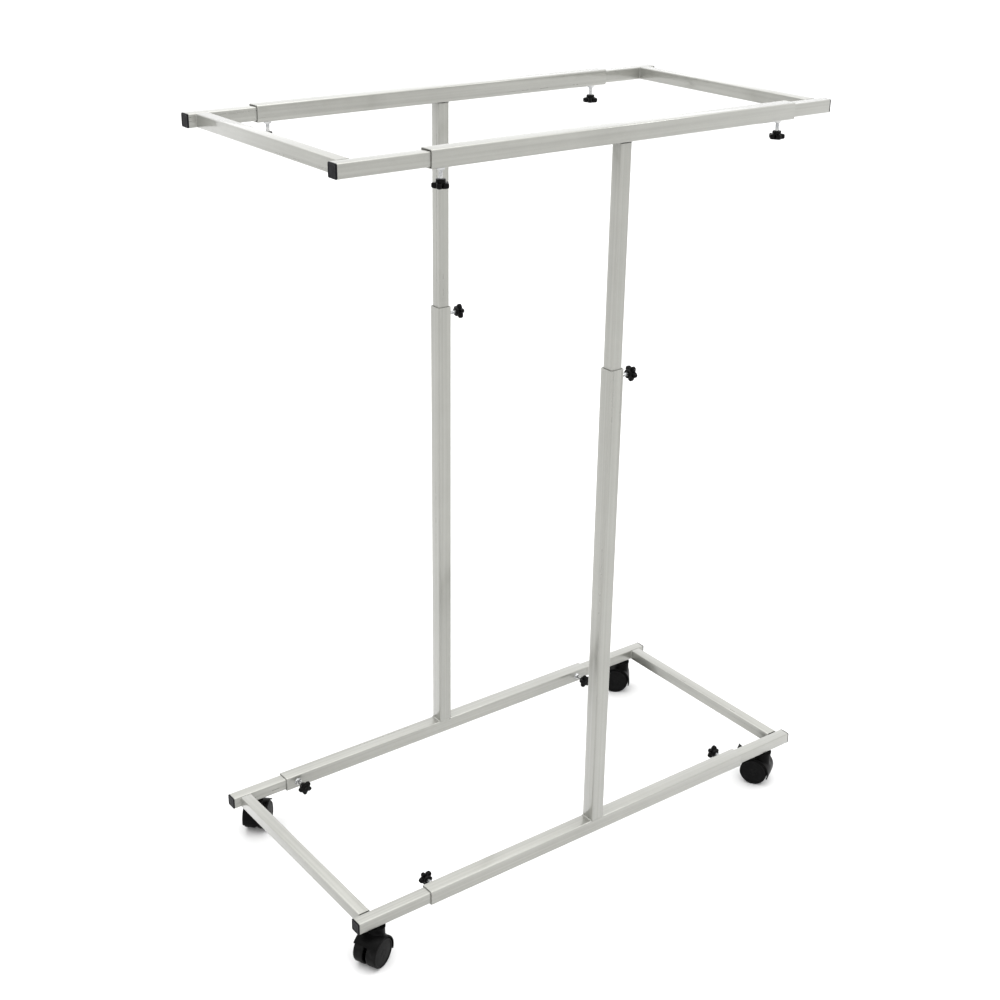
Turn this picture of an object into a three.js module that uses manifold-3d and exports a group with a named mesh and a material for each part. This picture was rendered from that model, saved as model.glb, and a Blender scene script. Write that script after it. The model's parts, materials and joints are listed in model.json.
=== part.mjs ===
// A rolling clothes rack of telescoping square steel tube.
// Two side frames (base sleeve, post, top sleeve) are joined by four U-shaped end frames that slide in
// the sleeves, so the base and the top can each be made longer, and the top stands on two telescoping
// posts. Every sliding joint is clamped by a star-knob screw, and four twin-wheel casters carry the base.
//
// Millimetres, +Z up. X runs along the rails, left to right; front is -Y and rear is +Y.
import * as THREE from 'three';
import { mergeVertices } from 'three/addons/utils/BufferGeometryUtils.js';
import Module from 'manifold-3d';

const wasm = await Module();
wasm.setup();

// ---------------------------------------------------------------- driving dimensions

// Overall sizes
const BASE_LENGTH = 926; // left to right over the base's end plugs
const TOP_LENGTH = 875; // left to right over the top frame's end plugs
const TOP_SHIFT = -25.5; // middle of the top frame, from the middle of the base
const RAIL_SPACING = 402; // front to rear, between the rails' centre lines
const RAIL_RISE = 1147; // base rail centre to top rail centre, at the height it is set to

// Square tubes: the sleeve is the outer tube, and what slides in it follows from it
const SLEEVE_SIZE = 25;
const SLEEVE_CORNER = 2.5;
const TUBE_WALL = 1.5;
const TUBE_CLEARANCE = 1; // between a sleeve's bore and the tube inside it, on each side

// Side frames
const BASE_ARM_SHOWING = 128; // mean length of base arm that stands out of a sleeve
const TOP_ARM_SHOWING = 110;
const POST_SHIFT = -11; // mean of the two posts, from the middle of the base
const SIDE_STAGGER = 30; // how far the front side frame stands to the right of the rear one
const POST_SLEEVE_LENGTH = 790;
const POST_TUBE_LENGTH = 760;

// End frames
const ARM_LENGTH = 375; // of each of a U's two arms, over its end plug
const CROSS_INSET = 13.5; // cross bar's outer face, in from the end plug
const DRAIN_HOLE = 5; // under each cross bar
const PLUG_FLANGE = 2;
const PLUG_DEPTH = 12;

// Clamp screws and their star knobs
const SCREW_DIAMETER = 6;
const SCREW_INSET = 22; // screw axis, in from a rail sleeve's mouth
const POST_SCREW_INSET = 15; // screw axis, down from a post sleeve's mouth
const NUT_ACROSS_FLATS = 9.5;
const NUT_HEIGHT = 4;
const KNOB_STANDOFF = 16; // knob's near end, out from the sleeve's face
const KNOB_DIAMETER = 25;
const KNOB_VALLEY = 15.5; // diameter across the valleys between lobes
const KNOB_LOBES = 5;
const KNOB_HEAD = 7;
const KNOB_NECK_DIAMETER = 12;
const KNOB_NECK = 6;
const SCREW_IN_KNOB = 9;

// Casters
const WHEEL_DIAMETER = 50;
const WHEEL_WIDTH = 17.5;
const WHEEL_HUB_DIAMETER = 14;
const WHEEL_RIM_WALL = 3;
const WHEEL_DISC_WALL = 3;
const CASTER_WEB = 4; // thickness of the plate between the two wheels
const CASTER_TRAIL = 12; // axle, behind the swivel axis
const HOOD_WALL = 2.2;
const HOOD_FRONT_ANGLE = -18; // hood's front lip, from the level of the axle
const HOOD_BACK_ANGLE = 140; // hood's back lip
const BOSS_DIAMETER = 27;
const BOSS_HEIGHT = 9.5; // above the hood
const STEM_DIAMETER = 10;
const STEM_FLANGE_DIAMETER = 16;
const STEM_FLANGE = 2.4;
const STEM_IN_ARM = 12;
const STEM_IN_BOSS = 12;
const AXLE_DIAMETER = 6;
const AXLE_IN_WHEEL = 13;
const PEDAL_WIDTH = 14; // the brake pedal of a braked caster
const PEDAL_REACH = 34; // its tip, behind the axle
const PEDAL_RISE = 36; // and above it
const PEDAL_TIP = 3.5;
const PEDAL_ROOT_FROM = 122;
const PEDAL_ROOT_TO = 138;

// Where each caster stands on its arm, and which way its hood faces, in degrees from +X
const CASTERS = [
  { corner: 'front_left', side: -1, end: -1, inset: 38, heading: 24 },
  { corner: 'rear_left', side: 1, end: -1, inset: 46, heading: -134 },
  { corner: 'front_right', side: -1, end: 1, inset: 53, heading: -59.6, braked: true },
  { corner: 'rear_right', side: 1, end: 1, inset: 48, heading: -41 },
];

// Fits
const GAP = 0.3; // between faces that rest on each other
const HOLE_CLEARANCE = 0.3; // around a screw, stem or axle, on each side
const WHEEL_CLEARANCE = 1; // between a wheel and the hood or the web

// How finely round shapes are divided; an arc has two sides for each of its steps
const ROUND_SIDES = 16;
const SCREW_SIDES = 12;
const WHEEL_SIDES = 24;
const CORNER_STEPS = 1;
const HOOD_STEPS = 6;
const LOBE_STEPS = 6;

// ---------------------------------------------------------------- what follows from them

const INNER_SIZE = SLEEVE_SIZE - 2 * (TUBE_WALL + TUBE_CLEARANCE);
const INNER_CORNER = SLEEVE_CORNER - TUBE_WALL / 3;
const BASE_SLEEVE_LENGTH = BASE_LENGTH - 2 * BASE_ARM_SHOWING;
const TOP_SLEEVE_LENGTH = TOP_LENGTH - 2 * TOP_ARM_SHOWING;

// A wheel stands on one of its flats, which touch the true circle, so its edges reach a little further
const AXLE_Z = WHEEL_DIAMETER / 2;
const WHEEL_RADIUS = AXLE_Z / Math.cos(Math.PI / WHEEL_SIDES);
const HOOD_BORE = WHEEL_RADIUS + WHEEL_CLEARANCE;
const HOOD_RADIUS = HOOD_BORE + HOOD_WALL;
const HOOD_WIDTH = CASTER_WEB + 2 * (WHEEL_CLEARANCE + WHEEL_WIDTH) + 1;
const BOSS_TOP = AXLE_Z + HOOD_RADIUS + BOSS_HEIGHT;
const FLANGE_BOTTOM = BOSS_TOP + GAP;
const ARM_BOTTOM = FLANGE_BOTTOM + STEM_FLANGE + GAP;

const BASE_Z = ARM_BOTTOM + INNER_SIZE / 2;
const TOP_Z = BASE_Z + RAIL_RISE;
const POST_SLEEVE_BOTTOM = BASE_Z + SLEEVE_SIZE / 2 + GAP;
const POST_SLEEVE_TOP = POST_SLEEVE_BOTTOM + POST_SLEEVE_LENGTH;
const POST_TUBE_TOP = TOP_Z - SLEEVE_SIZE / 2 - GAP;

// ---------------------------------------------------------------- materials

const paintedSteel = new THREE.MeshStandardMaterial({ color: 0xb9bab3, roughness: 0.45, metalness: 0.35 });
const zincSteel = new THREE.MeshStandardMaterial({ color: 0xc4c6c8, roughness: 0.3, metalness: 0.9 });
const blackPlastic = new THREE.MeshStandardMaterial({ color: 0x151515, roughness: 0.5, metalness: 0 });
const wheelPlastic = new THREE.MeshStandardMaterial({ color: 0x1b1b1c, roughness: 0.6, metalness: 0 });

// ---------------------------------------------------------------- solids

/** A closed three.js geometry as a solid that can be joined and cut. */
function solid(geometry) {
  const bare = geometry.clone();
  bare.deleteAttribute('normal');
  bare.deleteAttribute('uv');
  const merged = mergeVertices(bare, 1e-4);
  return new wasm.Manifold(new wasm.Mesh({
    numProp: 3,
    vertProperties: new Float32Array(merged.attributes.position.array),
    triVerts: new Uint32Array(merged.index.array),
  }));
}

/** A solid back as a three.js geometry. */
function geometryOf(body) {
  const mesh = body.getMesh();
  const geometry = new THREE.BufferGeometry();
  geometry.setAttribute('position', new THREE.BufferAttribute(mesh.vertProperties, 3));
  geometry.setIndex(new THREE.BufferAttribute(mesh.triVerts, 1));
  return geometry;
}

/** A square with rounded corners, as a shape or as the path of a hole. */
function roundedSquare(size, corner, Outline = THREE.Shape) {
  const half = size / 2;
  const straight = half - corner;
  const outline = new Outline();
  outline.moveTo(half, -straight);
  outline.lineTo(half, straight);
  outline.absarc(straight, straight, corner, 0, Math.PI / 2);
  outline.absarc(-straight, straight, corner, Math.PI / 2, Math.PI);
  outline.absarc(-straight, -straight, corner, Math.PI, 1.5 * Math.PI);
  outline.absarc(straight, -straight, corner, 1.5 * Math.PI, 2 * Math.PI);
  return outline;
}

function extrude(shape, depth, curveSegments = CORNER_STEPS) {
  return new THREE.ExtrudeGeometry(shape, { depth, bevelEnabled: false, curveSegments });
}

/** A square tube from z = 0 up to its length. */
function squareTube(size, corner, length) {
  const shape = roundedSquare(size, corner);
  shape.holes.push(roundedSquare(size - 2 * TUBE_WALL, corner - TUBE_WALL / 2, THREE.Path));
  return extrude(shape, length);
}

/** Turn a part that was made along +Z so that it runs along the given direction. */
function along(geometry, direction) {
  const turn = new THREE.Quaternion().setFromUnitVectors(new THREE.Vector3(0, 0, 1), direction);
  return geometry.applyQuaternion(turn);
}

/** A round bar from z = 0 up to its length. */
function roundBar(diameter, length, sides = ROUND_SIDES) {
  const bar = new THREE.CylinderGeometry(diameter / 2, diameter / 2, length, sides);
  return bar.rotateX(Math.PI / 2).translate(0, 0, length / 2);
}

const LEFT = new THREE.Vector3(-1, 0, 0);
const RIGHT = new THREE.Vector3(1, 0, 0);
const REARWARD = new THREE.Vector3(0, 1, 0);
const DOWN = new THREE.Vector3(0, 0, -1);

// ---------------------------------------------------------------- the clamp that every sleeve carries

const SCREW_HOLE = SCREW_DIAMETER + 2 * HOLE_CLEARANCE;

/** Cut a clamp screw's hole in a sleeve and weld its nut on; the face point is on the sleeve's skin. */
function withClamp(sleeve, face, direction) {
  const nutRadius = NUT_ACROSS_FLATS / Math.sqrt(3);
  const nut = new THREE.CylinderGeometry(nutRadius, nutRadius, NUT_HEIGHT + TUBE_WALL / 2, 6);
  nut.rotateX(Math.PI / 2).translate(0, 0, (NUT_HEIGHT - TUBE_WALL / 2) / 2);
  const hole = roundBar(SCREW_HOLE, NUT_HEIGHT + 2 * TUBE_WALL + 1).translate(0, 0, -1.5 * TUBE_WALL);
  const place = (piece) => solid(along(piece, direction).translate(face.x, face.y, face.z));
  return sleeve.add(place(nut)).subtract(place(hole));
}

/** The screw, from its tip against the inner tube out into the knob, along +Z from the sleeve's skin. */
function clampScrew() {
  const tip = -(TUBE_WALL + TUBE_CLEARANCE) + GAP;
  const length = KNOB_STANDOFF + SCREW_IN_KNOB - tip;
  return roundBar(SCREW_DIAMETER, length, SCREW_SIDES).translate(0, 0, tip);
}

/** A star knob: a round neck and a lobed head, with a blind hole for the screw's end. */
function starKnob() {
  const mean = (KNOB_DIAMETER + KNOB_VALLEY) / 4;
  const swing = (KNOB_DIAMETER - KNOB_VALLEY) / 4;
  const outline = [];
  const steps = KNOB_LOBES * LOBE_STEPS;
  for (let i = 0; i < steps; i += 1) {
    const angle = (i / steps) * 2 * Math.PI;
    const radius = mean + swing * Math.cos(KNOB_LOBES * angle);
    outline.push(new THREE.Vector2(radius * Math.cos(angle), radius * Math.sin(angle)));
  }
  const head = extrude(new THREE.Shape(outline), KNOB_HEAD).translate(0, 0, KNOB_NECK);
  const neck = roundBar(KNOB_NECK_DIAMETER, KNOB_NECK + 1);
  const hole = roundBar(SCREW_HOLE, SCREW_IN_KNOB + GAP + 1).translate(0, 0, -1);
  const knob = solid(head).add(solid(neck)).subtract(solid(hole));
  return geometryOf(knob).translate(0, 0, KNOB_STANDOFF);
}

// ---------------------------------------------------------------- the assembly

const rack = new THREE.Group();

/** Add a named piece to the rack. */
function add(name, geometry, material) {
  const mesh = new THREE.Mesh(geometry, material);
  mesh.name = name;
  rack.add(mesh);
  return mesh;
}

/** Add a clamp screw and its knob, standing out of a sleeve's face. */
function addClamp(name, face, direction) {
  const parts = [
    add(`clamp_screw_${name}`, clampScrew(), zincSteel),
    add(`star_knob_${name}`, starKnob(), blackPlastic),
  ];
  for (const part of parts) {
    along(part.geometry, direction);
    part.position.copy(face);
  }
}

/** A rail sleeve along X with a clamp near each mouth. */
function addRailSleeve(name, middle, length, clampDirection) {
  const tube = along(squareTube(SLEEVE_SIZE, SLEEVE_CORNER, length), RIGHT);
  let sleeve = solid(tube.translate(-length / 2, 0, 0));
  for (const [end, endName] of [[-1, 'left'], [1, 'right']]) {
    const face = new THREE.Vector3(end * (length / 2 - SCREW_INSET), 0, 0);
    face.addScaledVector(clampDirection, SLEEVE_SIZE / 2);
    sleeve = withClamp(sleeve, face, clampDirection);
    addClamp(`${name}_${endName}`, face.clone().add(middle), clampDirection);
  }
  add(`${name.replace('_', '_sleeve_')}`, geometryOf(sleeve), paintedSteel).position.copy(middle);
}

/** One side frame: base sleeve, post sleeve, post tube and top sleeve. side is -1 for front. */
function addSideFrame(side, sideName) {
  const x = POST_SHIFT - (side * SIDE_STAGGER) / 2;
  const y = (side * RAIL_SPACING) / 2;
  const inward = REARWARD.clone().multiplyScalar(-side);
  addRailSleeve(`base_${sideName}`, new THREE.Vector3(x, y, BASE_Z), BASE_SLEEVE_LENGTH, inward);
  addRailSleeve(`top_${sideName}`, new THREE.Vector3(x, y, TOP_Z), TOP_SLEEVE_LENGTH, DOWN);

  const face = new THREE.Vector3(SLEEVE_SIZE / 2, 0, POST_SLEEVE_LENGTH - POST_SCREW_INSET);
  const tube = solid(squareTube(SLEEVE_SIZE, SLEEVE_CORNER, POST_SLEEVE_LENGTH));
  const foot = new THREE.Vector3(x, y, POST_SLEEVE_BOTTOM);
  const postSleeve = geometryOf(withClamp(tube, face, RIGHT));
  add(`post_sleeve_${sideName}`, postSleeve, paintedSteel).position.copy(foot);
  addClamp(`post_${sideName}`, face.clone().add(foot), RIGHT);

  const postTube = squareTube(INNER_SIZE, INNER_CORNER, POST_TUBE_LENGTH);
  const bottom = POST_TUBE_TOP - POST_TUBE_LENGTH;
  add(`post_tube_${sideName}`, postTube, paintedSteel).position.set(x, y, bottom);
}

/** An end plug, its flange outwards along +Z from z = 0 and its body down inside the tube. */
function endPlug() {
  const flange = extrude(roundedSquare(INNER_SIZE, INNER_CORNER), PLUG_FLANGE);
  const bodySize = INNER_SIZE - 2 * TUBE_WALL - 2 * GAP;
  const corner = INNER_CORNER - TUBE_WALL / 2;
  const body = extrude(roundedSquare(bodySize, corner), PLUG_DEPTH + 1);
  const plug = solid(flange).add(solid(body.translate(0, 0, -PLUG_DEPTH)));
  return geometryOf(plug);
}

/**
 * A U-shaped end frame: two arms along X, front and rear, and a cross bar between them.
 * end is -1 for left; reach is the end's distance from x = 0; stems are caster holes, as insets.
 */
function addEndFrame(level, endName, end, reach, z, stems) {
  const outward = end < 0 ? LEFT : RIGHT;
  const tubeEnd = reach - PLUG_FLANGE - GAP;
  const armInner = reach - ARM_LENGTH;
  const half = RAIL_SPACING / 2;
  let frame = null;
  for (const side of [-1, 1]) {
    const arm = along(squareTube(INNER_SIZE, INNER_CORNER, tubeEnd - armInner), outward);
    let piece = solid(arm.translate(end * armInner, side * half, 0));
    if (stems) {
      const hole = roundBar(STEM_DIAMETER + 2 * HOLE_CLEARANCE, INNER_SIZE / 2);
      const x = end * (reach - stems[side]);
      piece = piece.subtract(solid(hole.translate(x, side * half, -INNER_SIZE * 0.75)));
    }
    frame = frame ? frame.add(piece) : piece;
  }
  // The bar ends inside the arms' walls, where the welds join them
  const barLength = RAIL_SPACING - INNER_SIZE + TUBE_WALL;
  const barX = end * (reach - CROSS_INSET - INNER_SIZE / 2);
  const bar = along(squareTube(INNER_SIZE, INNER_CORNER, barLength), REARWARD);
  const drain = roundBar(DRAIN_HOLE, INNER_SIZE / 2, SCREW_SIDES);
  drain.translate(barX, half / 2, -INNER_SIZE * 0.75);
  frame = frame.add(solid(bar.translate(barX, -barLength / 2, 0))).subtract(solid(drain));
  const name = `${level}_end_frame_${endName}`;
  add(name, geometryOf(frame), paintedSteel).position.set(0, 0, z);

  for (const [side, sideName] of [[-1, 'front'], [1, 'rear']]) {
    const plug = add(`${level}_plug_${sideName}_${endName}`, along(endPlug(), outward), blackPlastic);
    plug.position.set(end * (reach - PLUG_FLANGE), side * half, z);
  }
}

// ---------------------------------------------------------------- casters

/** A wheel of the pair, its outer face at z = WHEEL_WIDTH and its open, hollow side at z = 0. */
function casterWheel() {
  const bore = AXLE_DIAMETER / 2 + HOLE_CLEARANCE;
  const hub = WHEEL_HUB_DIAMETER / 2;
  const rim = WHEEL_RADIUS - WHEEL_RIM_WALL;
  const floor = WHEEL_WIDTH - WHEEL_DISC_WALL;
  const edge = 1.5; // chamfer where the tread turns into the outer face
  const profile = [
    [0, AXLE_IN_WHEEL + GAP],
    [bore, AXLE_IN_WHEEL + GAP],
    [bore, 0],
    [hub, 0],
    [hub, floor],
    [rim, floor],
    [rim, 0],
    [WHEEL_RADIUS, 0],
    [WHEEL_RADIUS, WHEEL_WIDTH - edge],
    [WHEEL_RADIUS - edge, WHEEL_WIDTH],
    [0, WHEEL_WIDTH],
  ].map(([r, z]) => new THREE.Vector2(r, z));
  return new THREE.LatheGeometry(profile, WHEEL_SIDES, Math.PI / WHEEL_SIDES).rotateX(Math.PI / 2);
}

/** A sector of a ring or disc about the axle, across the caster's width. */
function hoodSector(inner, outer, from, to, width) {
  const start = THREE.MathUtils.degToRad(from);
  const finish = THREE.MathUtils.degToRad(to);
  const shape = new THREE.Shape();
  shape.absarc(0, 0, outer, start, finish);
  shape.lineTo(inner * Math.cos(finish), inner * Math.sin(finish));
  if (inner > 0) {
    shape.absarc(0, 0, inner, finish, start, true);
  }
  return extrude(shape, width, HOOD_STEPS).translate(0, 0, -width / 2);
}

/** The brake pedal: a wedge that rises from the hood's back lip to a thin tip. */
function brakePedal() {
  const root = HOOD_BORE + HOOD_WALL / 2;
  const from = THREE.MathUtils.degToRad(PEDAL_ROOT_FROM);
  const to = THREE.MathUtils.degToRad(PEDAL_ROOT_TO);
  const shape = new THREE.Shape();
  shape.moveTo(root * Math.cos(from), root * Math.sin(from));
  shape.lineTo(-PEDAL_REACH, PEDAL_RISE);
  shape.lineTo(-PEDAL_REACH, PEDAL_RISE - PEDAL_TIP);
  shape.lineTo(root * Math.cos(to), root * Math.sin(to));
  shape.closePath();
  return extrude(shape, PEDAL_WIDTH, 1).translate(0, 0, -PEDAL_WIDTH / 2);
}

/** The caster's body: hood over both wheels, web between them, and the boss that turns on the stem. */
function casterHousing(braked) {
  const hood = solid(hoodSector(HOOD_BORE, HOOD_RADIUS, HOOD_FRONT_ANGLE, HOOD_BACK_ANGLE, HOOD_WIDTH));
  const web = solid(hoodSector(0, HOOD_BORE + 1, HOOD_FRONT_ANGLE, HOOD_BACK_ANGLE, CASTER_WEB));
  const hub = solid(roundBar(AXLE_DIAMETER * 2, CASTER_WEB).translate(0, 0, -CASTER_WEB / 2));
  const axleHole = roundBar(AXLE_DIAMETER + 2 * HOLE_CLEARANCE, CASTER_WEB + 2);
  const shell = braked ? hood.add(solid(brakePedal())) : hood;
  const lying = shell.add(web).add(hub).subtract(solid(axleHole.translate(0, 0, -CASTER_WEB / 2 - 1)));
  // Sector plane x, y becomes world x, z; the width becomes y
  const standing = geometryOf(lying).rotateX(Math.PI / 2).translate(-CASTER_TRAIL, 0, AXLE_Z);
  const bossFoot = AXLE_Z + HOOD_RADIUS - HOOD_WALL * 2.5;
  const boss = roundBar(BOSS_DIAMETER, BOSS_TOP - bossFoot).translate(0, 0, bossFoot);
  const wheelSpace = roundBar(2 * HOOD_BORE, WHEEL_WIDTH + WHEEL_CLEARANCE);
  const clearOfWheels = [-1, 1].map((side) => {
    const from = side < 0 ? -CASTER_WEB / 2 - WHEEL_WIDTH - WHEEL_CLEARANCE : CASTER_WEB / 2;
    return solid(wheelSpace.clone().translate(0, 0, from).rotateX(-Math.PI / 2)
      .translate(-CASTER_TRAIL, 0, AXLE_Z));
  });
  const stemHole = roundBar(STEM_DIAMETER + 2 * HOLE_CLEARANCE, STEM_IN_BOSS + GAP + 1);
  stemHole.translate(0, 0, BOSS_TOP - STEM_IN_BOSS - GAP);
  let bossSolid = solid(boss);
  for (const space of clearOfWheels) {
    bossSolid = bossSolid.subtract(space);
  }
  return geometryOf(solid(standing).add(bossSolid).subtract(solid(stemHole)));
}

/** The stem: a pin with a flange, screwed up into the arm, on which the body turns. */
function casterStem() {
  const bottom = BOSS_TOP - STEM_IN_BOSS;
  const pin = roundBar(STEM_DIAMETER, ARM_BOTTOM + STEM_IN_ARM - bottom).translate(0, 0, bottom);
  const flange = roundBar(STEM_FLANGE_DIAMETER, STEM_FLANGE).translate(0, 0, FLANGE_BOTTOM);
  return geometryOf(solid(pin).add(solid(flange)));
}

/** One caster under a corner of the base. */
function addCaster({ corner, side, end, inset, heading, braked }) {
  const place = new THREE.Group();
  place.position.set(end * (BASE_LENGTH / 2 - inset), (side * RAIL_SPACING) / 2, 0);
  place.rotation.z = THREE.MathUtils.degToRad(heading);
  rack.add(place);
  const fit = (name, geometry, material) => place.add(add(name, geometry, material));

  fit(`caster_stem_${corner}`, casterStem(), zincSteel);
  fit(`caster_housing_${corner}`, casterHousing(braked), blackPlastic);
  const axleLength = CASTER_WEB + 2 * (WHEEL_CLEARANCE + AXLE_IN_WHEEL);
  const axle = roundBar(AXLE_DIAMETER, axleLength, SCREW_SIDES).translate(0, 0, -axleLength / 2);
  fit(`caster_axle_${corner}`, axle.rotateX(Math.PI / 2).translate(-CASTER_TRAIL, 0, AXLE_Z), zincSteel);
  for (const [hand, handName] of [[-1, 'a'], [1, 'b']]) {
    const wheel = casterWheel().translate(0, 0, CASTER_WEB / 2 + WHEEL_CLEARANCE);
    wheel.rotateX((-hand * Math.PI) / 2).translate(-CASTER_TRAIL, 0, AXLE_Z);
    fit(`caster_wheel_${handName}_${corner}`, wheel, wheelPlastic);
  }
}

// ---------------------------------------------------------------- build it

addSideFrame(-1, 'front');
addSideFrame(1, 'rear');

const inset = Object.fromEntries(CASTERS.map((caster) => [caster.corner, caster.inset]));
const leftStems = { [-1]: inset.front_left, 1: inset.rear_left };
const rightStems = { [-1]: inset.front_right, 1: inset.rear_right };
addEndFrame('base', 'left', -1, BASE_LENGTH / 2, BASE_Z, leftStems);
addEndFrame('base', 'right', 1, BASE_LENGTH / 2, BASE_Z, rightStems);
addEndFrame('top', 'left', -1, TOP_LENGTH / 2 - TOP_SHIFT, TOP_Z, null);
addEndFrame('top', 'right', 1, TOP_LENGTH / 2 + TOP_SHIFT, TOP_Z, null);

CASTERS.forEach(addCaster);

// The origin is on the floor, under the middle of the box that the rack fills
rack.updateMatrixWorld(true);
const box = new THREE.Box3().setFromObject(rack, true);
const middle = box.getCenter(new THREE.Vector3());
rack.position.set(-middle.x, -middle.y, -box.min.z);

export default rack;
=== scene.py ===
# %% [markdown]
# # A rolling clothes rack of telescoping square tube
# Two side frames stand on four twin-wheel casters. Each is a base rail sleeve with a post
# welded on it. End frames shaped like a U slide in and out of the rail sleeves, and the posts
# carry a top frame of the same make. Ten clamp screws with star knobs hold what slides.
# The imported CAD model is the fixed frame: every size and place below is read from it.

# %% Load the fixed frame
import json
import math

import bmesh
import bpy
from mathutils import Matrix, Vector

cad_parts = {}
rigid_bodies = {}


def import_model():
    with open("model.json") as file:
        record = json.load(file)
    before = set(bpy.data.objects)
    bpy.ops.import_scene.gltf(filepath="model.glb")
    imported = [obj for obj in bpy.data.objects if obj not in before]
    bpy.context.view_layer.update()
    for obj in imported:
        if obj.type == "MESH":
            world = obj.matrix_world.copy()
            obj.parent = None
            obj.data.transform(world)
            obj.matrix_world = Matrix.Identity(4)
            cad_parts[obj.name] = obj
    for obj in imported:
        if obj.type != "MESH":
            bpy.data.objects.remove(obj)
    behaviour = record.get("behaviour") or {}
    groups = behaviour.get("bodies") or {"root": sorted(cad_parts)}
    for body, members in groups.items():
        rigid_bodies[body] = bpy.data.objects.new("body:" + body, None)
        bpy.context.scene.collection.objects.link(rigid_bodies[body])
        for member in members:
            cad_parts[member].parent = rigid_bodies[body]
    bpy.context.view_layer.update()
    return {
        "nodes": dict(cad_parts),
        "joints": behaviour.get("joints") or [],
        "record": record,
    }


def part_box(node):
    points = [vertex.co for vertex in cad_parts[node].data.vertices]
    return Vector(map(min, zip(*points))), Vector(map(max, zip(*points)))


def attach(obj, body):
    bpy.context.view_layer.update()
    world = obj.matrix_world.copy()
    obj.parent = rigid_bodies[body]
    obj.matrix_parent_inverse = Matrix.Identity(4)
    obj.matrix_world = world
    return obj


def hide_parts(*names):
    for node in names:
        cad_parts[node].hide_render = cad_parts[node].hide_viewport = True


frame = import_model()
BODY_NODES = frame["record"]["behaviour"]["bodies"]
BODY_OF = {node: body for body, nodes in BODY_NODES.items() for node in nodes}
JOINTS = {joint["name"]: joint for joint in frame["joints"]}
MM = 0.001

# %% [markdown]
# ## Camera
# The rack is seen from its front left corner, from a little above head height. The camera's
# turn is worked out from a yaw, a pitch and a slight roll, so each can be read by itself.

# %% Set up the camera
CAMERA_PLACE = Vector((-1.4293, -1.8489, 1.6244))
CAMERA_YAW, CAMERA_PITCH, CAMERA_ROLL = 0.6428, -0.4156, 0.0137
CAMERA_LENS_MM, CAMERA_SENSOR_MM = 56.03, 36
CAMERA_CLIP_END = 100

ahead = Vector((
    math.sin(CAMERA_YAW) * math.cos(CAMERA_PITCH),
    math.cos(CAMERA_YAW) * math.cos(CAMERA_PITCH),
    math.sin(CAMERA_PITCH),
))
level = ahead.cross(Vector((0, 0, 1))).normalized()
upright = level.cross(ahead)
right = level * math.cos(CAMERA_ROLL) + upright * math.sin(CAMERA_ROLL)
up = upright * math.cos(CAMERA_ROLL) - level * math.sin(CAMERA_ROLL)

camera = bpy.data.objects.new("camera", bpy.data.cameras.new("camera"))
camera.data.lens = CAMERA_LENS_MM
camera.data.sensor_width = CAMERA_SENSOR_MM
camera.data.clip_end = CAMERA_CLIP_END
camera_turn = Matrix((right, up, -ahead)).transposed().to_4x4()
camera.matrix_world = Matrix.Translation(CAMERA_PLACE) @ camera_turn
bpy.context.scene.collection.objects.link(camera)
bpy.context.scene.camera = camera

# %% [markdown]
# ## A bench for nodes
# Shader and geometry trees are both made of nodes joined at sockets. `Wire` wraps one output
# socket and lets it take part in ordinary sums, each of which adds a Math node. `Bench.add`
# makes any other node: its type, then its settings, then what goes into its sockets.


# %% Wire and Bench
class Wire:
    """An output socket that can be added, multiplied and so on."""

    def __init__(self, bench, socket):
        self.bench, self.socket = bench, socket

    def maths(self, operation, first, second):
        return self.bench.add("ShaderNodeMath", {"operation": operation}, {0: first, 1: second})

    def __add__(self, other):
        return self.maths("ADD", self, other)

    def __mul__(self, other):
        return self.maths("MULTIPLY", self, other)

    def __sub__(self, other):
        return self.maths("SUBTRACT", self, other)

    def __rsub__(self, other):
        return self.maths("SUBTRACT", other, self)

    def __truediv__(self, other):
        return self.maths("DIVIDE", self, other)

    __radd__, __rmul__ = __add__, __mul__


class Bench:
    """Adds nodes to one tree."""

    def __init__(self, tree):
        self.tree = tree

    def add(self, kind, settings=None, sockets=None, out=0):
        node = self.tree.nodes.new(kind)
        for name, value in (settings or {}).items():
            setattr(node, name, value)
        for name, value in (sockets or {}).items():
            for one in value if isinstance(value, list) else [value]:
                if isinstance(one, Wire):
                    self.tree.links.new(one.socket, node.inputs[name])
                else:
                    node.inputs[name].default_value = one
        return Wire(self, node.outputs[out])


# %% [markdown]
# ## Finishes
# Each finish is a Principled surface whose colour, roughness and bump come from noise on the
# piece's own coordinates, so the pattern stays with the piece when it slides or turns.
# Powder coat has fine metal flake and an orange-peel skin. Zinc plate is a bright, slightly
# clouded metal. The knobs are glossy moulded plastic, and the casters a duller one.


# %% Shader helpers
def surface(name, constants):
    """A new material with a Principled surface, and the bench and node to finish it with."""
    material = bpy.data.materials.new(name)
    material.use_nodes = True
    shader = material.node_tree.nodes["Principled BSDF"]
    for socket, value in constants.items():
        shader.inputs[socket].default_value = value
    bench = Bench(material.node_tree)
    return material, bench, shader


def feed(bench, shader, **links):
    for name, wire in links.items():
        bench.tree.links.new(wire.socket, shader.inputs[name.replace("_", " ")])


def noise(bench, where, scale, detail=2.0, roughness=0.5):
    sockets = {"Vector": where, "Scale": scale, "Detail": detail, "Roughness": roughness}
    return bench.add("ShaderNodeTexNoise", None, sockets)


MIX_FACTOR, MIX_FIRST, MIX_SECOND, MIX_COLOUR_OUT = 0, 6, 7, 2


def between(bench, factor, dark, light):
    """A colour between two, by a factor."""
    sockets = {MIX_FACTOR: factor, MIX_FIRST: (*dark, 1), MIX_SECOND: (*light, 1)}
    return bench.add("ShaderNodeMix", {"data_type": "RGBA"}, sockets, out=MIX_COLOUR_OUT)


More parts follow.
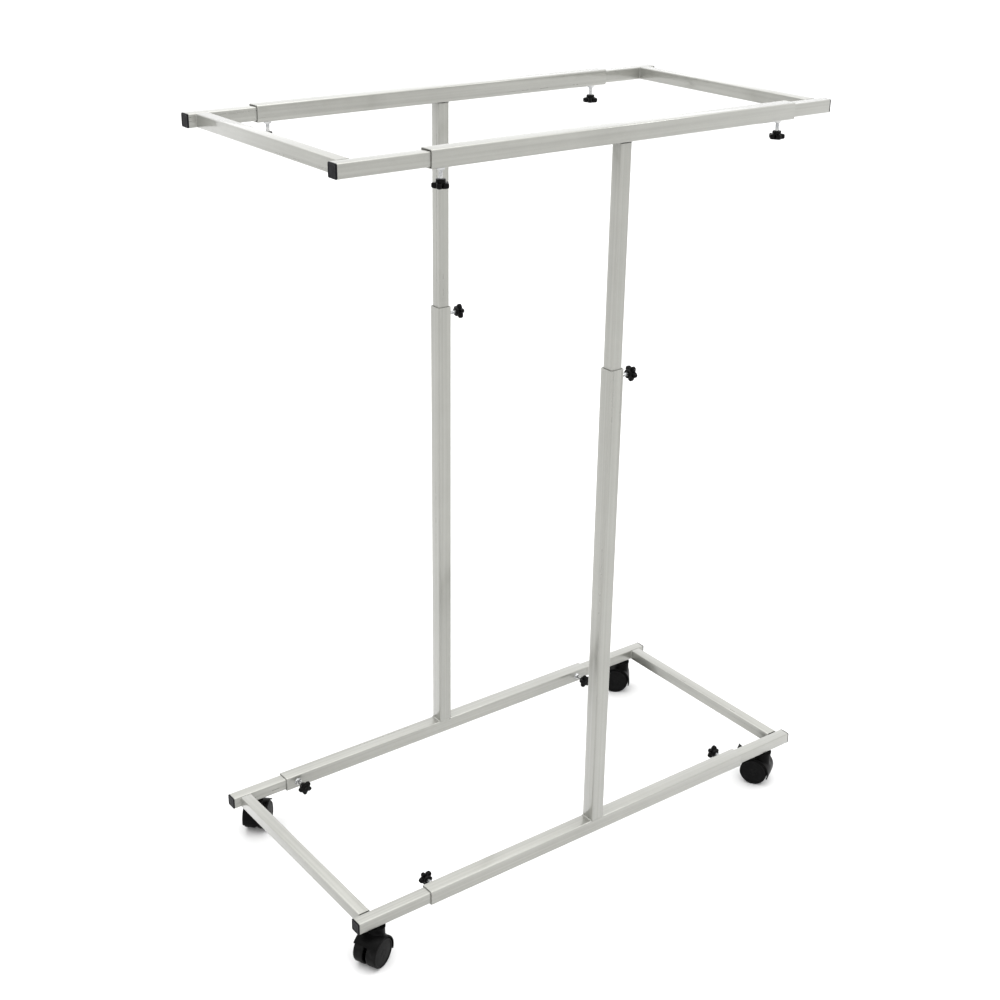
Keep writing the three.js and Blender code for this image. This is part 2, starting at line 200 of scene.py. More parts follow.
def band(bench, wire, low, high):
    """A value stretched so that low becomes 0 and high becomes 1."""
    sockets = {"Value": wire, "From Min": low, "From Max": high, "To Min": 0.0, "To Max": 1.0}
    return bench.add("ShaderNodeMapRange", None, sockets)


def bump(bench, height, strength, distance):
    sockets = {"Strength": strength, "Distance": distance, "Height": height}
    return bench.add("ShaderNodeBump", None, sockets)


def grey(level):
    return (level, level, level)


# %% Silver powder coat
COAT_DARK, COAT_LIGHT = (0.228, 0.228, 0.208), (0.338, 0.338, 0.312)
STREAK_STRETCH = (1.0, 1.0, 0.008)


def powder_coat():
    """The drawn streaks are noise stretched along each tube's own length."""
    constants = {"IOR": 1.5, "Coat Roughness": 0.10}
    material, bench, shader = surface("silver_powder_coat", constants)
    where = bench.add("ShaderNodeTexCoord", out="Object")
    grain = bench.add("ShaderNodeAttribute", {"attribute_name": "grain"}, out="Vector")
    drawn = bench.add(
        "ShaderNodeVectorMath", {"operation": "MULTIPLY"}, {0: grain, 1: STREAK_STRETCH},
    )
    streak = band(bench, noise(bench, drawn, 240.0, 1.0, 0.4), 0.25, 0.75)
    drift = band(bench, noise(bench, where, 7.0, 3.0), 0.3, 0.7)
    flake = band(bench, noise(bench, where, 800.0, 1.0), 0.3, 0.7)
    peel = noise(bench, where, 420.0, 2.0)
    smudge = band(bench, noise(bench, where, 38.0, 4.0, 0.6), 0.45, 0.75)
    tone = drift * 0.3 + flake * 0.12 + smudge * 0.1 + streak * 0.48
    feed(
        bench, shader,
        Base_Color=between(bench, tone, COAT_DARK, COAT_LIGHT),
        Roughness=0.27 + smudge * 0.07 + streak * 0.06,
        Metallic=0.46 + flake * 0.12,
        Coat_Weight=1.0 - smudge * 0.15,
        Normal=bump(bench, peel, 0.06, 0.0001),
    )
    return material


# %% Bright zinc plate
ZINC_DARK, ZINC_LIGHT = (0.38, 0.39, 0.40), (0.56, 0.56, 0.55)


def zinc_plate():
    material, bench, shader = surface("bright_zinc_plate", {"IOR": 1.5})
    where = bench.add("ShaderNodeTexCoord", out="Object")
    cloud = band(bench, noise(bench, where, 160.0, 3.0), 0.35, 0.65)
    grain = noise(bench, where, 2600.0, 1.0)
    feed(
        bench, shader,
        Base_Color=between(bench, cloud, ZINC_DARK, ZINC_LIGHT),
        Roughness=0.16 + cloud * 0.10,
        Metallic=0.93 + cloud * 0.07,
        Normal=bump(bench, grain, 0.10, 0.0001),
    )
    return material


# %% Black plastics
def black_plastic(name, colours, roughness, grain_scale, grain_strength, gloss):
    constants = {"IOR": 1.46, "Specular IOR Level": gloss}
    material, bench, shader = surface(name, constants)
    where = bench.add("ShaderNodeTexCoord", out="Object")
    grain = noise(bench, where, grain_scale, 2.0)
    rub = band(bench, noise(bench, where, 60.0, 5.0, 0.65), 0.42, 0.72)
    feed(
        bench, shader,
        Base_Color=between(bench, rub * 0.6 + grain * 0.4, *colours),
        Roughness=roughness + rub * 0.08 + grain * 0.06,
        Normal=bump(bench, grain, grain_strength, 0.0002),
    )
    return material


# %% Painted shade: a near-black plate, which shows only as a dark line in the roots of the joints
def seam_shade_finish():
    material, bench, shader = surface("painted_seam_shade", {"IOR": 1.5, "Specular IOR Level": 0.1})
    where = bench.add("ShaderNodeTexCoord", out="Object")
    # The mottle is only texture within the painted seam shade.
    scale = band(bench, noise(bench, where, 90.0, 4.0, 0.6), 0.35, 0.65)
    feed(
        bench, shader,
        Base_Color=between(bench, scale, grey(0.003), (0.012, 0.012, 0.011)),
        Roughness=0.55 + scale * 0.2,
        Normal=bump(bench, scale, 0.2, 0.0002),
    )
    return material


SILVER = powder_coat()
SEAM_SHADE = seam_shade_finish()
ZINC = zinc_plate()
KNOB_BLACK = black_plastic(
    "glossy_black_plastic", (grey(0.001), grey(0.003)),
    roughness=0.12, grain_scale=1500.0, grain_strength=0.10, gloss=0.08,
)
CASTER_BLACK = black_plastic(
    "satin_black_plastic", (grey(0.001), grey(0.004)),
    roughness=0.28, grain_scale=1100.0, grain_strength=0.18, gloss=0.05,
)
PLUG_BLACK = black_plastic(
    "plug_black_plastic", ((0.006, 0.006, 0.007), (0.017, 0.017, 0.019)),
    roughness=0.30, grain_scale=1200.0, grain_strength=0.15, gloss=0.05,
)


# %% [markdown]
# The wheels wear. Their treads grind to a dull grey and their discs show faint turned lines,
# so this finish reads the wheel's own UV map: U runs round the wheel and V along its section.


# %% Wheel nylon
TURNED_LINES = 5200.0  # radians of the sine along each metre of the section


def wheel_nylon():
    constants = {"IOR": 1.5, "Specular IOR Level": 0.05}
    material, bench, shader = surface("wheel_black_nylon", constants)
    where = bench.add("ShaderNodeTexCoord", out="Object")
    along = bench.add("ShaderNodeUVMap", {"uv_map": "turned"})
    split = bench.add("ShaderNodeSeparateXYZ", None, {0: along}, out="Y")
    lines = bench.add("ShaderNodeMath", {"operation": "SINE"}, {0: split * TURNED_LINES})
    grain = noise(bench, where, 900.0, 2.0)
    scuff = band(bench, noise(bench, where, 130.0, 4.0, 0.6), 0.48, 0.7)
    wear = scuff * 0.55 + grain * 0.45
    feed(
        bench, shader,
        Base_Color=between(bench, wear, grey(0.002), grey(0.010)),
        Roughness=0.40 + scuff * 0.14,
        Normal=bump(bench, lines * 0.25 + grain, 0.16, 0.0002),
    )
    return material


NYLON = wheel_nylon()

# %% [markdown]
# ## Making meshes
# `loft` skins a row of rings, each with the same number of points. `turned` does the same for
# a section spun round an axis. `finish` names a mesh, gives it a material, and hands it to the
# body that it rides on.


# %% Mesh helpers
def mesh_of(name, bm):
    bmesh.ops.remove_doubles(bm, verts=bm.verts, dist=1e-7)
    bmesh.ops.recalc_face_normals(bm, faces=bm.faces)
    mesh = bpy.data.meshes.new(name)
    bm.to_mesh(mesh)
    bm.free()
    return mesh


def loft(name, rings, around=False):
    """Skins rings of points. Ends are capped, unless the last ring joins the first."""
    bm = bmesh.new()
    rows = [[bm.verts.new(point) for point in ring] for ring in rings]
    count = len(rings[0])
    for a, b in zip(rows, rows[1:] + (rows[:1] if around else [])):
        for i in range(count):
            j = (i + 1) % count
            bm.faces.new((a[i], a[j], b[j], b[i]))
    if not around:
        bm.faces.new(rows[0])
        bm.faces.new(rows[-1])
    return mesh_of(name, bm)


def turned(name, section, sides=64):
    """Spins a section of (radius, height) about Z. Radius 0 at an end closes it in a pole."""
    bm = bmesh.new()
    uv = bm.loops.layers.uv.new("turned")
    angles = [2 * math.pi * i / sides for i in range(sides)]
    runs = [0.0]
    for (r0, h0), (r1, h1) in zip(section, section[1:]):
        runs.append(runs[-1] + math.hypot(r1 - r0, h1 - h0))
    rows = []
    for radius, height in section:
        if radius < 1e-9:
            rows.append([bm.verts.new((0, 0, height))] * sides)
        else:
            ring = [(radius * math.cos(t), radius * math.sin(t), height) for t in angles]
            rows.append([bm.verts.new(point) for point in ring])
    for k in range(len(rows) - 1):
        for i in range(sides):
            j = (i + 1) % sides
            corners = [
                (rows[k][i], i, k), (rows[k][j], i + 1, k),
                (rows[k + 1][j], i + 1, k + 1), (rows[k + 1][i], i, k + 1),
            ]
            if rows[k][i] is rows[k][j]:
                corners.pop(1)
            elif rows[k + 1][i] is rows[k + 1][j]:
                corners.pop(2)
            face = bm.faces.new([corner[0] for corner in corners])
            for loop, (_, u, v) in zip(face.loops, corners):
                loop[uv].uv = (u / sides, runs[v])
    return mesh_of(name, bm)


def placed(mesh, matrix):
    """A copy of a mesh, moved to its place."""
    copy = mesh.copy()
    copy.transform(matrix)
    return copy


def joined(name, meshes):
    bm = bmesh.new()
    for mesh in meshes:
        bm.from_mesh(mesh)
    mesh = bpy.data.meshes.new(name)
    bm.to_mesh(mesh)
    bm.free()
    return mesh


def eased_block(name, low, high, ease):
    bm = bmesh.new()
    bmesh.ops.create_cube(bm, size=1.0)
    size = Vector(high) - Vector(low)
    middle = (Vector(high) + Vector(low)) / 2
    for v in bm.verts:
        v.co = Vector((v.co.x * size.x, v.co.y * size.y, v.co.z * size.z)) + middle
    bmesh.ops.bevel(bm, geom=bm.edges[:], offset=ease, segments=3, profile=0.5, affect="EDGES")
    return mesh_of(name, bm)


def standing(axis, origin, roll=0.0):
    """The matrix that turns Z to an axis and moves the origin."""
    turn = Vector((0, 0, 1)).rotation_difference(Vector(axis)).to_matrix().to_4x4()
    return Matrix.Translation(origin) @ turn @ Matrix.Rotation(roll, 4, "Z")


def add_grain(mesh, offset=Vector((0, 0, 0))):
    """Keeps each point's own place as an attribute, which the drawn streaks follow."""
    if "grain" not in mesh.attributes:
        field = mesh.attributes.new("grain", "FLOAT_VECTOR", "POINT")
        for i, v in enumerate(mesh.vertices):
            field.data[i].vector = v.co + offset


def finish(name, mesh, material, body, *nodes, crease=38):
    """Makes a piece of a mesh: material, shading and body, and hides the CAD nodes it replaces."""
    mesh.materials.clear()
    mesh.materials.append(material)
    if material is SILVER:
        add_grain(mesh)
    mesh.shade_smooth()
    mesh.set_sharp_from_angle(angle=math.radians(crease))
    piece = bpy.data.objects.new(name, mesh)
    bpy.context.scene.collection.objects.link(piece)
    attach(piece, body)
    if nodes:
        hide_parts(*nodes)
    return piece


# %% Growing a mesh from a geometry tree
def new_tree(name, **inputs):
    """A geometry tree with named inputs: the tree, its bench and its inputs as wires."""
    kinds = {float: "NodeSocketFloat", int: "NodeSocketInt"}
    tree = bpy.data.node_groups.new(name, "GeometryNodeTree")
    for way in ("OUTPUT", "INPUT"):
        tree.interface.new_socket("Geometry", in_out=way, socket_type="NodeSocketGeometry")
    for label, value in inputs.items():
        socket = tree.interface.new_socket(label, in_out="INPUT", socket_type=kinds[type(value)])
        socket.default_value = value
    tree.interface.new_socket("Finish", in_out="INPUT", socket_type="NodeSocketMaterial")
    bench = Bench(tree)
    source = tree.nodes.new("NodeGroupInput")
    wires = {socket.name: Wire(bench, socket) for socket in source.outputs if socket.name}
    return tree, bench, wires


def close_tree(bench, wires, shape):
    """Ends a tree: instances made real, and the finish set."""
    real = bench.add("GeometryNodeRealizeInstances", None, {"Geometry": shape})
    painted = bench.add(
        "GeometryNodeSetMaterial", None, {"Geometry": real, "Material": wires["Finish"]},
    )
    result = bench.tree.nodes.new("NodeGroupOutput")
    bench.tree.links.new(painted.socket, result.inputs["Geometry"])


def grow(tree, start=None, **values):
    """Runs a tree once and returns the plain mesh that it makes."""
    carrier = bpy.data.objects.new("carrier", start or bpy.data.meshes.new("start"))
    bpy.context.scene.collection.objects.link(carrier)
    modifier = carrier.modifiers.new(tree.name, "NODES")
    modifier.node_group = tree
    for item in tree.interface.items_tree:
        if item.in_out == "INPUT" and item.name in values:
            modifier[item.identifier] = values[item.name]
    seen = carrier.evaluated_get(bpy.context.evaluated_depsgraph_get())
    mesh = bpy.data.meshes.new_from_object(seen)
    bpy.data.objects.remove(carrier)
    return mesh


# %% [markdown]
# ## Square tube
# A square tube is one wall carried round a rounded square. So the tree draws that square as a
# path, draws the wall's long thin section with slightly eased ends, and sweeps one along the
# other. The ring closes on itself, so the tube is hollow, open at both mouths and watertight,
# and its cut ends catch the light on a fine rounded edge, as deburred tube does.

# %% The square tube tree
tube_tree, bench, given = new_tree(
    "square_tube", Size=0.025, Wall=0.0015, Corner=0.0025, Length=0.5, Edge=0.0003,
)
across = given["Size"] - given["Wall"]
square = bench.add(
    "GeometryNodeCurvePrimitiveQuadrilateral", None, {"Width": across, "Height": across},
)
path = bench.add(
    "GeometryNodeFilletCurve", {"mode": "POLY"},
    {"Curve": square, "Count": 6, "Radius": given["Corner"] - given["Wall"] * 0.5},
)
wall = bench.add(
    "GeometryNodeCurvePrimitiveQuadrilateral", None,
    {"Width": given["Wall"], "Height": given["Length"]},
)
section = bench.add(
    "GeometryNodeFilletCurve", {"mode": "POLY"},
    {"Curve": wall, "Count": 2, "Radius": given["Edge"]},
)
swept = bench.add("GeometryNodeCurveToMesh", None, {"Curve": path, "Profile Curve": section})
close_tree(bench, given, swept)

# %% Tube sizes, from the frame
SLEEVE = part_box("post_sleeve_front")[1].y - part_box("post_sleeve_front")[0].y
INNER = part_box("post_tube_front")[1].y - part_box("post_tube_front")[0].y
WALL = 1.5 * MM
SLEEVE_CORNER, INNER_CORNER = 2.5 * MM, 2.0 * MM
CUT_EDGE = 0.35 * MM
STREAK_SHIFT = 3  # carries one tube's streaks clear of its neighbour's
print("sleeve", round(SLEEVE, 5), "inner tube", round(INNER, 5))


def tube(size, corner, start, end):
    """A square tube between two points on its centre line."""
    start, end = Vector(start), Vector(end)
    mesh = grow(
        tube_tree, Size=size, Wall=WALL, Corner=corner, Length=(end - start).length,
        Edge=CUT_EDGE, Finish=SILVER,
    )
    bm = bmesh.new()
    bm.from_mesh(mesh)
    bmesh.ops.recalc_face_normals(bm, faces=bm.faces)
    bm.to_mesh(mesh)
    bm.free()
    add_grain(mesh, Vector((start.x + end.y, start.y + end.z, start.z)) * STREAK_SHIFT)
    mesh.transform(standing((end - start).normalized(), (start + end) / 2))
    return mesh


# %% Sleeves and post tubes
half = SLEEVE / 2
POST_SEAM = 0.9 * MM
for side, outward in (("front", -1), ("rear", 1)):
    low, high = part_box(f"base_sleeve_{side}")
    rail_y = low.y + half if outward < 0 else high.y - half
    rail_z = (low.z + high.z) / 2
    mesh = tube(SLEEVE, SLEEVE_CORNER, (low.x, rail_y, rail_z), (high.x, rail_y, rail_z))
    finish(f"base_rail_sleeve_{side}", mesh, SILVER, "side_frames", f"base_sleeve_{side}")

    low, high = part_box(f"top_sleeve_{side}")
    top_z = high.z - half
    mesh = tube(SLEEVE, SLEEVE_CORNER, (low.x, rail_y, top_z), (high.x, rail_y, top_z))
    finish(f"top_rail_sleeve_{side}", mesh, SILVER, "top_rails", f"top_sleeve_{side}")

    low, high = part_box(f"post_sleeve_{side}")
    post_x = low.x + half
    mesh = tube(SLEEVE, SLEEVE_CORNER, (post_x, rail_y, low.z), (post_x, rail_y, high.z))
    finish(f"post_outer_{side}", mesh, SILVER, "side_frames", f"post_sleeve_{side}")

    low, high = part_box(f"post_tube_{side}")
    mesh = tube(INNER, INNER_CORNER, (post_x, rail_y, low.z), (post_x, rail_y, high.z - POST_SEAM))
    finish(f"post_inner_{side}", mesh, SILVER, "top_rails", f"post_tube_{side}")

# %% [markdown]
# ## End frames
# Each end frame is a U of the smaller tube: two arms that slide in the sleeves and a cross bar
# butted between them and welded. The butt joint leaves a fine seam on top, so the cross bar
# stops a little short of the arms, and a near-black plate in the gap paints the seam's shade.

# %% U-shaped end frames
CROSS_SEAM = 1.4 * MM
FACE_SLACK = 0.2 * MM
SHADE_PLATE_NEAR, SHADE_PLATE_FAR, SHADE_PLATE_EASE = 0.02 * MM, 0.45 * MM, 0.12 * MM
END_FRAMES = [(level, end) for level in ("base", "top") for end in ("left", "right")]
cross_bars = {}
for level, end in END_FRAMES:
    node = f"{level}_end_frame_{end}"
    low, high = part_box(node)
    z = (low.z + high.z) / 2
    arms_y = (low.y + INNER / 2, high.y - INNER / 2)
    inner_faces = (low.y + INNER, high.y - INNER)
    spans = [
        v.co.x for v in frame["nodes"][node].data.vertices
        if inner_faces[0] - FACE_SLACK < v.co.y < inner_faces[1] + FACE_SLACK
        and low.x + MM < v.co.x < high.x - MM
    ]
    bar_x = (min(spans) + max(spans)) / 2
    cross_bars[level, end] = (bar_x, inner_faces, z)
    parts = [tube(INNER, INNER_CORNER, (low.x, y, z), (high.x, y, z)) for y in arms_y]
    parts.append(tube(
        INNER, INNER_CORNER,
        (bar_x, inner_faces[0] + CROSS_SEAM, z), (bar_x, inner_faces[1] - CROSS_SEAM, z),
    ))
    finish(f"{level}_{end}_u_frame", joined(node, parts), SILVER, f"{level}_{end}_end", node)
    # Near-black plates stand in both seams as painted shade, so that each gap reads dark.
    shade_plates, reach = [], INNER / 2 - 0.8 * MM
    for face, inward in ((inner_faces[0], 1), (inner_faces[1], -1)):
        y0, y1 = sorted((face + inward * SHADE_PLATE_NEAR, face + inward * SHADE_PLATE_FAR))
        shade_plates.append(eased_block(
            "root", (bar_x - reach, y0, z - reach), (bar_x + reach, y1, z + reach - 0.2 * MM),
            SHADE_PLATE_EASE,
        ))
    seam_shade_mesh = joined("painted_seam_shade_plates", shade_plates)
    finish(f"{level}_{end}_joint_roots", seam_shade_mesh, SEAM_SHADE, f"{level}_{end}_end")
    print(node, "cross bar at", round(bar_x, 4), "width", round(max(spans) - min(spans), 4))

# %% [markdown]
# ## Weld beads
# A weld bead is a row of overlapping puddles. Each bead here is one edge of a small mesh. The
# tree turns the edges into curves, sets a point every millimetre or so, and puts a flattened
# ball on each, turned along the bead, with a seeded change of size and height.

# %% The weld tree
weld_tree, bench, given = new_tree("weld_bead", Radius=0.0022, Pitch=0.0011, Seed=1)
curve = bench.add("GeometryNodeMeshToCurve", None, {"Mesh": given["Geometry"]})
dots = bench.add(
    "GeometryNodeCurveToPoints", {"mode": "LENGTH"}, {"Curve": curve, "Length": given["Pitch"]},
)
turn_socket = dots.socket.node.outputs["Rotation"]
puddle = bench.add(
    "GeometryNodeMeshUVSphere", None, {"Segments": 10, "Rings": 7, "Radius": given["Radius"]},
)
spread = bench.add(
    "FunctionNodeRandomValue", {"data_type": "FLOAT"},
    {2: 0.82, 3: 1.12, "Seed": given["Seed"]}, out=1,
)
shape = bench.add("ShaderNodeCombineXYZ", None, {"X": spread, "Y": spread, "Z": 0.55})
shaken = bench.add(
    "FunctionNodeRandomValue", {"data_type": "FLOAT_VECTOR"},
    {0: (-0.0002, -0.0002, -0.0001), 1: (0.0002, 0.0002, 0.0001), "Seed": given["Seed"] + 5},
)
moved = bench.add("GeometryNodeSetPosition", None, {"Geometry": dots, "Offset": shaken})
beads = bench.add(
    "GeometryNodeInstanceOnPoints", None,
    {"Points": moved, "Instance": puddle, "Rotation": Wire(bench, turn_socket), "Scale": shape},
)
close_tree(bench, given, beads)


def weld(name, body, lines, radius, seed):
    """Beads along straight lines, as one mesh on one body."""
    bm = bmesh.new()
    for start, end in lines:
        bm.edges.new((bm.verts.new(start), bm.verts.new(end)))
    start_mesh = bpy.data.meshes.new(name)
    bm.to_mesh(start_mesh)
    bm.free()
    mesh = grow(weld_tree, start_mesh, Radius=radius, Pitch=radius * 0.5, Seed=seed, Finish=SILVER)
    return finish(name, mesh, SILVER, body, crease=60)


# %% Beads at the feet and heads of the posts
FOOT_BEAD, HEAD_BEAD, CORNER_BEAD = 2.1 * MM, 1.3 * MM, 1.35 * MM
FOOT_SHORT, HEAD_SHORT, CORNER_SHORT = 2.6 * MM, 2.0 * MM, 2.5 * MM
BEAD_OUT, BEAD_SINK = 0.3 * MM, 0.1 * MM
foot_lines, head_lines = [], []
for side in ("front", "rear"):
    low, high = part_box(f"post_sleeve_{side}")
    y0, y1, z = low.y + FOOT_SHORT, high.y - FOOT_SHORT, low.z - BEAD_SINK
    for x in (low.x - BEAD_OUT, low.x + SLEEVE + BEAD_OUT):
        foot_lines.append(((x, y0, z), (x, y1, z)))
    low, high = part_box(f"post_tube_{side}")
    y0, y1, z = low.y + HEAD_SHORT, high.y - HEAD_SHORT, high.z + BEAD_SINK
    for x in (low.x - BEAD_OUT, high.x + BEAD_OUT):
        head_lines.append(((x, y0, z), (x, y1, z)))
weld("post_foot_welds", "side_frames", foot_lines, FOOT_BEAD, 3)
weld("post_head_welds", "top_rails", head_lines, HEAD_BEAD, 8)

# %% Beads in the corners of the end frames
for number, (level, end) in enumerate(END_FRAMES):
    bar_x, faces, z = cross_bars[level, end]
    reach = INNER / 2 - CORNER_SHORT
    lines = []
    for y in (faces[0] + BEAD_OUT, faces[1] - BEAD_OUT):
        for x in (bar_x - INNER / 2 + 0.2 * MM, bar_x + INNER / 2 - 0.2 * MM):
            lines.append(((x, y, z - reach), (x, y, z + reach)))
    weld(f"{level}_{end}_corner_welds", f"{level}_{end}_end", lines, CORNER_BEAD, 20 + number)

# %% [markdown]
# On the outer face the foot of each post is filled and ground flush, so no groove shows where
# the rail's rounded edge passes under the post. One small block with eased edges fills it.


# %% Ground welds
FILL_PROUD, FILL_DEEP, FILL_EASE = 0.05 * MM, 2.4 * MM, 0.5 * MM
FILL_INSET, FILL_BELOW, FILL_ABOVE = 1.6 * MM, 2.9 * MM, 1.2 * MM
fills = []
for side in ("front", "rear"):
    low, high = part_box(f"post_sleeve_{side}")
    x0, x1 = low.x + FILL_INSET, low.x + SLEEVE - FILL_INSET
    for face, sign in ((low.y, -1), (high.y, 1)):
        y0, y1 = sorted((face + sign * FILL_PROUD, face - sign * FILL_DEEP))
        fills.append(eased_block(
            "fill", (x0, y0, low.z - FILL_BELOW), (x1, y1, low.z + FILL_ABOVE), FILL_EASE,
        ))
finish("post_foot_ground_welds", joined("ground_welds", fills), SILVER, "side_frames")

# %% [markdown]
# ## End plugs
# A black plug closes each open arm. Its cap is as wide as the tube, with a rounded rim around
# a shallow panel, and its ribbed stub grips the bore.


# %% The plug
def square_ring(half_side, corner, height, steps=6):
    """Points round a rounded square at one height."""
    corner = min(corner, half_side * 0.98)
    core = half_side - corner
    ring = []
    for quarter in range(4):
        for step in range(steps + 1):
            t = math.pi / 2 * (quarter + step / steps)
            x, y = ((core, core), (-core, core), (-core, -core), (core, -core))[quarter]
            ring.append((x + corner * math.cos(t), y + corner * math.sin(t), height))
    return ring


PLUG_FIT = 0.05 * MM
RIB_FIRST, RIB_PITCH, RIB_COUNT = 2.0 * MM, 2.8 * MM, 3


def plug_mesh(thickness, depth):
    """Half widths and heights from the stub's inner end to the middle of the cap."""
    bore, rim = INNER / 2 - WALL - PLUG_FIT, INNER / 2 - PLUG_FIT
    core = bore - 0.5 * MM
    profile = [(bore - 0.8 * MM, -depth), (core, -depth + 0.8 * MM)]
    for rib in range(RIB_COUNT):
        foot = -depth + RIB_FIRST + RIB_PITCH * rib
        profile += [(core, foot), (bore, foot + 0.9 * MM), (core, foot + 1.2 * MM)]
    profile += [
        (bore - 0.4 * MM, 0.0), (rim - 0.1 * MM, 0.0), (rim, 0.2 * MM),
        (rim, thickness - 0.9 * MM), (rim - 0.25 * MM, thickness - 0.35 * MM),
        (rim - 0.9 * MM, thickness - 0.02 * MM), (rim - 1.9 * MM, thickness),
        (rim - 2.3 * MM, thickness - 0.15 * MM), (rim - 2.6 * MM, thickness - 0.45 * MM),
        (rim - 3.4 * MM, thickness - 0.5 * MM), (rim - 6.5 * MM, thickness - 0.35 * MM),
        (rim - 9.0 * MM, thickness - 0.3 * MM),
    ]
    return loft("plug", [square_ring(reach, INNER_CORNER, height) for reach, height in profile])


for level, end in END_FRAMES:
    sign = -1 if end == "left" else 1
    arms_low, arms_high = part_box(f"{level}_end_frame_{end}")
    mouth = arms_low.x if sign < 0 else arms_high.x
    for side in ("front", "rear"):
        node = f"{level}_plug_{side}_{end}"
        low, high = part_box(node)
        tip = low.x if sign < 0 else high.x
        mesh = plug_mesh(abs(tip - mouth), (high.x - low.x) - abs(tip - mouth))
        centre = Vector((mouth, (low.y + high.y) / 2, (low.z + high.z) / 2))
        mesh.transform(standing((sign, 0, 0), centre))
        finish(f"end_plug_{level}_{side}_{end}", mesh, PLUG_BLACK, BODY_OF[node], node)

# %% [markdown]
# ## Clamp screws
# Each screw is an M6 bar with a rolled thread. The tree sweeps a small ridge along a spiral
# for the thread and adds the core inside it as a plain cylinder.

# %% The threaded screw tree
THREAD_PITCH, THREAD_CORE, THREAD_CREST = 1.0 * MM, 2.62 * MM, 3.0 * MM
screw_tree, bench, given = new_tree(
    "threaded_screw", Length=0.025, Core=0.0026, Crest=0.0030, Pitch=0.001,
)
turns = given["Length"] / given["Pitch"] - 1.6
helix = bench.add("GeometryNodeCurveSpiral", None, {
    "Resolution": 20, "Rotations": turns, "Height": turns * given["Pitch"],
    "Start Radius": given["Core"], "End Radius": given["Core"], "Reverse": False,
})
helix = bench.add("GeometryNodeSetCurveNormal", {"mode": "Z_UP"}, {"Curve": helix})
ridge = bench.add(
    "GeometryNodeCurvePrimitiveCircle", None,
    {"Resolution": 5, "Radius": given["Crest"] - given["Core"]},
)
thread = bench.add(
    "GeometryNodeCurveToMesh", None, {"Curve": helix, "Profile Curve": ridge, "Fill Caps": True},
)
lift = bench.add("ShaderNodeCombineXYZ", None, {"X": 0.0, "Y": 0.0, "Z": given["Pitch"] * 0.8})
thread = bench.add("GeometryNodeTransform", None, {"Geometry": thread, "Translation": lift})
bar = bench.add(
    "GeometryNodeMeshCylinder", None,
    {"Vertices": 24, "Radius": given["Core"], "Depth": given["Length"]},
)
rise = bench.add("ShaderNodeCombineXYZ", None, {"X": 0.0, "Y": 0.0, "Z": given["Length"] * 0.5})
bar = bench.add("GeometryNodeTransform", None, {"Geometry": bar, "Translation": rise})
close_tree(bench, given, bench.add("GeometryNodeJoinGeometry", None, {"Geometry": [thread, bar]}))

# %% Place the ten screws
CLAMPS = sorted(
    name.removeprefix("clamp_screw_") for name in frame["nodes"] if name.startswith("clamp_screw_")
)


def clamp_line(name):
    """A clamp's outward direction, and its screw's inner and outer ends."""
    axis = Vector(JOINTS[f"screw_travel_{name}"]["axis"])
    low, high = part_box(f"clamp_screw_{name}")
    centre, reach = (low + high) / 2, abs((high - low).dot(axis)) / 2
    return axis, centre - axis * reach, centre + axis * reach


for name in CLAMPS:
    axis, inner_end, outer_end = clamp_line(name)
    mesh = grow(
        screw_tree, Length=(outer_end - inner_end).length, Core=THREAD_CORE,
        Crest=THREAD_CREST, Pitch=THREAD_PITCH, Finish=ZINC,
    )
    mesh.transform(standing(axis, inner_end))
    finish(f"threaded_screw_{name}", mesh, ZINC, f"clamp_screw_{name}", f"clamp_screw_{name}")

# %% [markdown]
# ## Welded nuts
# The screws turn in nuts welded to the sleeves. The nut is a hexagon whose corners a cone has
# cut back, with a bored hole and a skirt of weld at its foot. One tree puts a copy on every
# clamp point of a body, turned to the direction that the point carries.


# %% The nut
def nut_mesh(across_flats, height, bore, count=48):
    cut = across_flats / 2 * 1.02
    angles = [2 * math.pi * i / count for i in range(count)]

    def flat(t):
        return across_flats / 2 / math.cos((t + math.pi / 6) % (math.pi / 3) - math.pi / 6)

    def ring(radius_of, height_of):
        rows = [(t, radius_of(t), height_of(t)) for t in angles]
        return [(radius * math.cos(t), radius * math.sin(t), z) for t, radius, z in rows]

    skirt = across_flats / 2 + 1.5 * MM
    rings = [
        ring(lambda t: bore, lambda t: -0.4 * MM),
        ring(lambda t: skirt, lambda t: -0.4 * MM),
        ring(lambda t: skirt + 0.25 * MM * math.sin(9 * t), lambda t: 0.15 * MM),
        ring(lambda t: flat(t) + 0.35 * MM + 0.1 * MM * math.sin(11 * t), lambda t: 0.85 * MM),
        ring(flat, lambda t: 1.7 * MM),
        ring(flat, lambda t: height - max(0.0, flat(t) - cut) * 0.6 - 0.1 * MM),
        ring(lambda t: min(flat(t), cut), lambda t: height),
        ring(lambda t: bore + 0.4 * MM, lambda t: height),
        ring(lambda t: bore, lambda t: height - 0.4 * MM),
    ]
    return loft("nut", rings, around=True)


NUT_ACROSS_FLATS, NUT_HEIGHT, SCREW_HOLE = 9.5 * MM, 4.0 * MM, 3.1 * MM
NUT_BED = 0.3 * MM
nut_shape = nut_mesh(NUT_ACROSS_FLATS, NUT_HEIGHT, SCREW_HOLE)
nut_pattern = bpy.data.objects.new("nut_pattern", nut_shape)
nut_tree, bench, given = new_tree("nuts_on_points")
pattern = bench.add("GeometryNodeObjectInfo", None, {"Object": nut_pattern}, out="Geometry")
outward = bench.add(
    "GeometryNodeInputNamedAttribute", {"data_type": "FLOAT_VECTOR"}, {"Name": "outward"},
)
facing = bench.add("FunctionNodeAlignRotationToVector", {"axis": "Z"}, {"Vector": outward})
nuts = bench.add(
    "GeometryNodeInstanceOnPoints", None,
    {"Points": given["Geometry"], "Instance": pattern, "Rotation": facing},
)
close_tree(bench, given, nuts)

